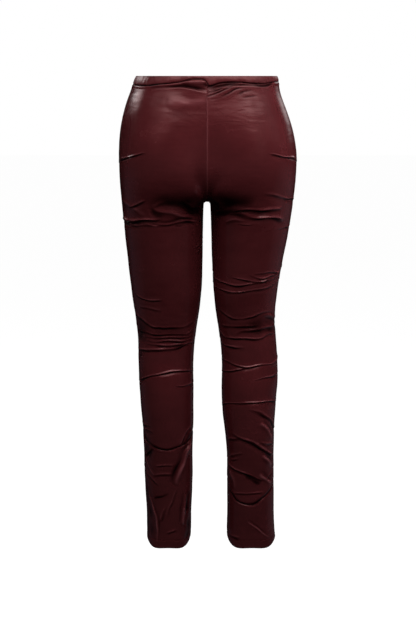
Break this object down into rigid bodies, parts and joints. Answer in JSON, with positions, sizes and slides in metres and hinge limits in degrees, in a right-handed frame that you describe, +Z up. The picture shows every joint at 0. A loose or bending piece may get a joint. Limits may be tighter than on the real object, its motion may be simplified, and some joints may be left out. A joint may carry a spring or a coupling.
{
  "type": "leather trousers",
  "caption": "Slim stretch-leather trousers as worn and hollow, with a narrow elastic waistband, full-length legs, folds at seat, knees and ankles, and open waist and hems.",
  "frame": {"origin": "middle of the waist opening, level with the waistband's upper edge at the centre back", "axes": "+Z up, -Y the back of the garment, +Y the front, +X the wearer's right"},
  "size_m": [0.3767, 0.2577, 1.0033],
  "materials": {
    "leather": "high-gloss coated stretch leather, dark oxblood, clear reflections and fine wrinkles",
    "waistband_leather": "the same leather gathered over elastic, slightly duller"
  },
  "bodies": {
    "root": {"back_panel_left": "leather", "back_panel_right": "leather", "front_panel_left": "leather", "front_panel_right": "leather", "waistband": "waistband_leather"}
  },
  "joints": []
}
